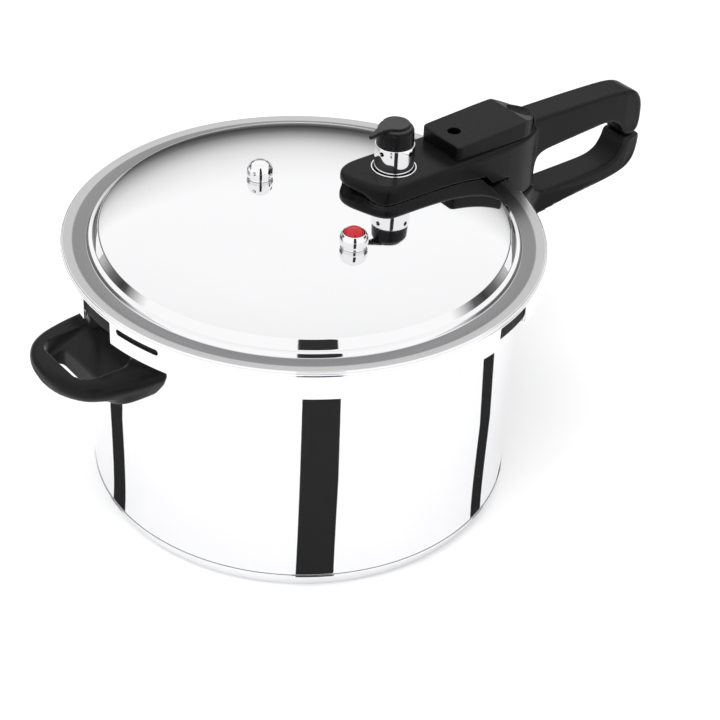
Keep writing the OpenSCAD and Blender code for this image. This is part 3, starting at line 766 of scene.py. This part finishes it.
up_side = [(181.5, 163.2), (190.4, 163.2), (191.6, 168), (192.4, 177), (194, 181.6),
           (198, 184), (204, 185.2), (240, 187.4), (258, 188.6), (266, 187), (273, 182.4),
           (277, 176.6), (279.6, 173), (282.6, 171.9), (288.4, 171.9), (293, 174.4), (295.2, 180.4),
           (295.2, 192), (292.6, 199.4), (287.6, 205.6), (280, 209.2), (268, 211), (230, 212.4),
           (188, 213), (181.5, 213.2)]
up = slab(resample(soften_outline(up_side, 2), 260), levels(-11.2, 11.2, 2.6, 2.6, 6), "y")
for v in up.verts:
    e = min(1, max(0, (v.co.x - 284) / 11.6))
    v.co.y *= 1 - 0.2 * e * e

block_half = [(191.6, 0), (190.8, 3.6), (188.4, 7.4), (183.4, 12.8), (176, 18.6), (168, 20.1),
              (115, 19.6), (112.2, 18.8), (111, 16.6)]
block_line = soften_outline(mirrored([(x, -y) for x, y in reversed(block_half)]), 1)
block_line = resample(block_line, 220)

arm = carve(put("arm", arm_mesh()), clear_of_lid.copy(), block(116, 182.3, -7.3, 7.3, 201.6, 220),
            block(165.6, 182.3, -4.3, 4.3, 150, 205), rod((72, 0, 180), (72, 0, 202), 8.4),
            rod((72, 0, 180), (72, 0, 220), 5.6))
block_space = slab(inset(block_line, -0.45), [(208.0, 0), (230, 0)])
grip = carve(mould(put("grip", up), 0.5, 1), block_space, clear_of_lid.copy(),
             block(165.6, 182.3, -4.3, 4.3, 150, 230))
clear_of_lid.free()
lid_grip = mould(put("lid_handle_moulding", take_back(arm, grip)), 0.62, 5)
dress(lid_grip, handle_black, "lid", ["lid_handle"])


def block_top(x):
    """Height of the latch block's roof: a long rise, a ridge, then a slope to the thumb."""
    if x < 171.8:
        return 218.8 + (x - 113.2) * 0.0375
    if x < 184:
        return 221 - (x - 171.8) * 0.377
    return 216.4 - (x - 184) * 0.12


roof = slab(block_line, levels(208.4, 221, 0.5, 0.9, 4))
for x in (125, 140, 155, 168, 170.4, 171.2, 171.8, 172.4, 173.2, 176, 180, 183, 184, 185, 187):
    slice_across(roof, x)
for v in roof.verts:
    if v.co.z > 214:
        v.co.z -= 221 - block_top(v.co.x)
latch = carve(put("latch_block_moulding", roof), rod((123.4, 0.4, 195), (123.4, 0.4, 240), 4.6))
runners = merge(block(126, 142, -7, 7, 203.4, 210), block(168, 182, -7, 7, 203.4, 210))
latch = mould(put("latch_block_moulding", merge(take_back(latch), runners)), 0.42, 3)
carve(latch, ball((184, 0.4, 227.3), 13.6, seg=96))
dress(latch, handle_black, "latch", ["latch_block"])


# ---------------------------------------------------------------- regulator and valves

def seated(profile):
    """Profile of a valve with its heights counted from its seat on the dome."""
    return [(p[0], SEAT_Z + p[1], *p[2:]) for p in profile]


def stem(at, r):
    """Threaded end of a valve, down through the lid."""
    return rod((at[0], at[1], SEAT_Z - 9.8), (at[0], at[1], SEAT_Z + 0.2), r)


collar = fillet([(14.2, 208.02), (15.3, 208.02, 0.2), (15.3, 208.82, 0.35), (14.2, 208.82, 0.35)], True, 3)
collar = spin(collar, 128, True, VENT)
dress(put("vent_collar", collar), chrome, "lid", ["vent_ring"], 40)

REG_R = 13.3
sleeve = put("regulator_sleeve", spin(fillet([
    (REG_R - 1.3, 209.0, 0.3), (REG_R, 209.0, 0.4), (REG_R, 214), (REG_R, 220), (REG_R, 226.2, 0.4),
    (REG_R - 1.3, 226.2, 0.3)], True, 4), 192, True, VENT))
carve(sleeve, *cross_holes(VENT, 222.4, 11.5, 9, 17, 1.7, 32))
dress(sleeve, chrome, "regulator", ["reg_sleeve"], 35)

cap = spin(fillet([
    (0, 226.5), (REG_R - 0.7, 226.5, 0.3), (REG_R - 1.1, 236.6, 1.5), (REG_R - 2.2, 238.5, 1.5),
    (9.0, 239.0, 1), (0, 239.0)], seg=4), 128, False, VENT)

# teardrop plate on top, drooping into the pointer
DROOP = ((-30, 4.5), (-22, 3.4), (-19, 2.6), (-15, 1.4), (-11, 0.4), (-7, 0), (30, 0))
plan = arc(0, 9.3, range(-122, 123, 4))
plan += [(-8.6, 4.9), (-12.6, 3.1), (-16.4, 2.2)]
plan += arc(-20.2, 1.7, range(100, 261, 10))
plan += [(-16.4, -2.2), (-12.6, -3.1), (-8.6, -4.9)]
beak = slab(resample(plan, 150), levels(238.5, 241, 0.4, 0.7, 4))
for x in range(-21, -5):
    slice_across(beak, x)
for v in beak.verts:
    for (x0, d0), (x1, d1) in zip(DROOP, DROOP[1:]):
        if x0 <= v.co.x < x1:
            v.co.z -= d0 + (d1 - d0) * (v.co.x - x0) / (x1 - x0)
            break
    v.co.x += VENT[0]
cap = mould(put("regulator_cap_moulding", merge(cap, beak)), 0.28, 3)
dress(cap, cap_black, "regulator_cap", ["reg_cap"])

relief = put("safety_valve_housing", spin(fillet(seated([
    (0, 0), (8.1, 0, 0.3), (8.55, 0.7, 0.3), (8.1, 1.2, 0.2), (8.8, 1.9, 0.5), (8.85, 3.8, 3), (8.5, 6.4, 3),
    (7.6, 8.7, 3), (6, 10.6, 3), (3.8, 11.6, 3), (0, 12)]), seg=4), 160, False, RELIEF))
carve(relief, *cross_holes(RELIEF, SEAT_Z + 6.4, 28, 6, 12, 1.25, 28))
relief = put("safety_valve_housing", merge(take_back(relief), stem(RELIEF, 3.9)))
dress(relief, chrome, "lid", ["relief_body"], 35)

housing = spin(fillet(seated([
    (0, 0), (8.2, 0, 0.2), (8.4, 0.6, 0.2), (8.1, 1.1, 0.2), (8.7, 1.8, 0.4), (9.15, 3.2, 2), (9.3, 5, 3),
    (9.15, 6.8, 3), (8.5, 8.5, 2), (7.7, 9.8, 0.8), (7.2, 10.2, 0.25), (7.0, 9.8, 0.2), (7.0, 1.8, 0.3),
    (0, 1.8)]), seg=4), 160, False, FLOAT)
merge(housing, stem(FLOAT, 4.9))
dress(put("indicator_housing", housing), chrome, "lid", ["float_body"], 40)

button = spin(fillet(seated([
    (0, -14.2), (2.2, -14.2, 0.3), (2.5, -13.6), (2.5, 2.1, 0.2), (6.6, 2.1, 0.3), (6.7, 8.8, 1.2),
    (6.2, 10.5, 2), (5.2, 11.7, 3), (3.6, 12.7, 3), (1.8, 13.25, 3), (0, 13.4)]), seg=4), 96, False, FLOAT)
dress(put("indicator_button", button), red, "indicator", ["float_pin"])

# small fittings keep their own shape and get a finish and broken edges
FITTINGS = {
    "base_core": aluminium, "pot_bracket": satin, "pot_screws": satin, "helper_bracket": satin,
    "helper_screw": satin, "lid_bracket": satin, "lid_screws": satin, "lock_tongue": satin,
    "latch_spring": satin, "vent_pipe": chrome, "vent_nut": satin, "vent_filter": satin,
    "reg_weight": brass, "relief_plunger": brass, "relief_spring": satin, "relief_seal": gasket_black,
    "relief_nut": satin, "float_clip": satin, "float_seal": gasket_black, "float_nut": satin,
}
for name, mat in FITTINGS.items():
    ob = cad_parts[name]
    ob.data.materials.clear()
    ob.data.materials.append(mat)
    if "spring" not in name:
        bevel = ob.modifiers.new("broken_edges", "BEVEL")
        bevel.width = 0.2 * MM
        bevel.segments = 2
        bevel.limit_method = "ANGLE"
        bevel.angle_limit = math.radians(50)


# ---------------------------------------------------------------- studio

RIGHT = Vector((math.cos(VIEW_AZ), -math.sin(VIEW_AZ), 0))
AWAY = Vector((math.sin(VIEW_AZ), math.cos(VIEW_AZ), 0))
TILT = math.radians(35.38)


def plain(name, colour, strength=0.0):
    """Matt studio surface, with a little light of its own if strength is given."""
    mat, _, bsdf, _ = shader(name)
    bsdf.inputs["Base Color"].default_value = (*colour, 1)
    bsdf.inputs["Roughness"].default_value = 0.9
    bsdf.inputs["Specular IOR Level"].default_value = 0.1
    if strength:
        bsdf.inputs["Emission Color"].default_value = (1, 1, 1, 1)
        bsdf.inputs["Emission Strength"].default_value = strength
    return mat


bm = bmesh.new()
bmesh.ops.create_grid(bm, x_segments=1, y_segments=1, size=9000)
floor = put("floor", bm)
floor.location.z = -0.0003
floor.data.materials.append(plain("floor_pale", (0.93, 0.93, 0.935), 0.12))

# plain matte black boards lying on the floor beside the pot, corners as (to the right, towards the front)
DARK_BOARDS = {
    "front": ((5, 142), (20, 375), (125, 350), (30, 139)),
    "right": ((122, 74), (330, -40), (305, -90), (129, 61)),
    "left": ((-125, 69), (-320, -60), (-335, 5), (-116, 84)),
}


def board(name, corners):
    """Flag for the polished wall to mirror; the camera doesn't see it."""
    bm = bmesh.new()
    verts = []
    for across, near in corners:
        spot = RIGHT * across - AWAY * near
        verts.append(bm.verts.new((spot.x, spot.y, 0.2)))
    bm.faces.new(verts)
    ob = put("board_" + name, bm)
    ob.data.materials.append(plain("board_black_" + name, (0.02, 0.02, 0.02)))
    for flag in ("visible_camera", "visible_diffuse", "visible_shadow"):
        setattr(ob, flag, False)


for name, corners in DARK_BOARDS.items():
    board(name, corners)


def sky():
    """White studio: open above, a darker band low at the back, one narrow dark screen beside the camera."""
    world = bpy.data.worlds.new("studio")
    bpy.context.scene.world = world
    world.use_nodes = True
    nt = world.node_tree
    bg = nt.nodes["Background"]
    tc = nt.nodes.new("ShaderNodeTexCoord")
    co = tc.outputs["Generated"]

    def along(axis):
        n = nt.nodes.new("ShaderNodeVectorMath")
        n.operation = "DOT_PRODUCT"
        n.inputs[1].default_value = axis
        nt.links.new(co, n.inputs[0])
        return n.outputs["Value"]

    def math_node(op, a, b):
        n = nt.nodes.new("ShaderNodeMath")
        n.operation = op
        for i, v in enumerate((a, b)):
            if isinstance(v, (int, float)):
                n.inputs[i].default_value = v
            else:
                nt.links.new(v, n.inputs[i])
        return n.outputs["Value"]

    up_ness = along((0, 0, 1))
    away = along(tuple(AWAY))
    right = along(tuple(RIGHT))
    ramp = nt.nodes.new("ShaderNodeValToRGB")
    nt.links.new(up_ness, ramp.inputs["Fac"])
    stops = ((0.0, 0.5), (0.10, 0.15), (0.174, 0.05), (0.26, 0.15), (0.342, 0.40), (0.423, 0.75), (0.50, 1.0),
             (1.0, 0.92))
    el = ramp.color_ramp.elements
    el[0].position, el[0].color = stops[0][0], (stops[0][1],) * 3 + (1,)
    el[1].position, el[1].color = stops[-1][0], (stops[-1][1],) * 3 + (1,)
    for pos, t in stops[1:-1]:
        e = el.new(pos)
        e.color = (t, t, t, 1)
    back_half = remap(nt, away, 0, 1, -0.1, 0.15)
    azimuth = math_node("ARCTAN2", right, math_node("MULTIPLY", away, -1))
    in_left = remap(nt, azimuth, 0, 1, -0.004, 0.004)
    in_right = remap(nt, azimuth, 1, 0, 0.371, 0.379)
    low_only = remap(nt, up_ness, 1, 0, 0.80, 0.86)
    screen = math_node("MULTIPLY", math_node("MULTIPLY", in_left, in_right), low_only)
    front = blend_colour(nt, screen, (1, 1, 1), (0.03, 0.03, 0.03))
    mix = nt.nodes.new("ShaderNodeMix")
    mix.data_type = "RGBA"
    nt.links.new(back_half, mix.inputs["Factor"])
    nt.links.new(front, mix.inputs["A"])
    nt.links.new(ramp.outputs["Color"], mix.inputs["B"])
    nt.links.new(mix.outputs["Result"], bg.inputs["Color"])
    bg.inputs["Strength"].default_value = 1.12


sky()


def lamp(name, at, to, size, power):
    """Square soft light aimed at a point; lengths in metres."""
    data = bpy.data.lights.new(name, "AREA")
    data.size = size
    data.energy = power
    ob = bpy.data.objects.new(name, data)
    bpy.context.scene.collection.objects.link(ob)
    ob.location = Vector(at)
    ob.rotation_mode = "QUATERNION"
    ob.rotation_quaternion = (Vector(to) - Vector(at)).to_track_quat("-Z", "Y")
    ob.visible_glossy = False
    return ob


lamp("key", (-0.9, -0.6, 1.8), (0, 0, 0.1), 1.2, 14)

cam_data = bpy.data.cameras.new("camera")
cam_data.lens = 98.85
cam_data.sensor_width = 36
cam_data.clip_start, cam_data.clip_end = 0.05, 60
camera = bpy.data.objects.new("camera", cam_data)
bpy.context.scene.collection.objects.link(camera)
look = AWAY * math.cos(TILT) - Vector((0, 0, 1)) * math.sin(TILT)
side = RIGHT.copy()
over = side.cross(look)
roll = math.radians(2.85)
cam_x = side * math.cos(roll) + over * math.sin(roll)
cam_y = over * math.cos(roll) - side * math.sin(roll)
target = RIGHT * 39.67 + Vector((0, 0, 82.94))
place = (target - look * 1339.4) * MM
basis = Matrix((cam_x, cam_y, -look)).transposed().to_4x4()
camera.matrix_world = Matrix.Translation(place) @ basis
bpy.context.scene.camera = camera
bpy.context.scene.view_settings.view_transform = "Standard"
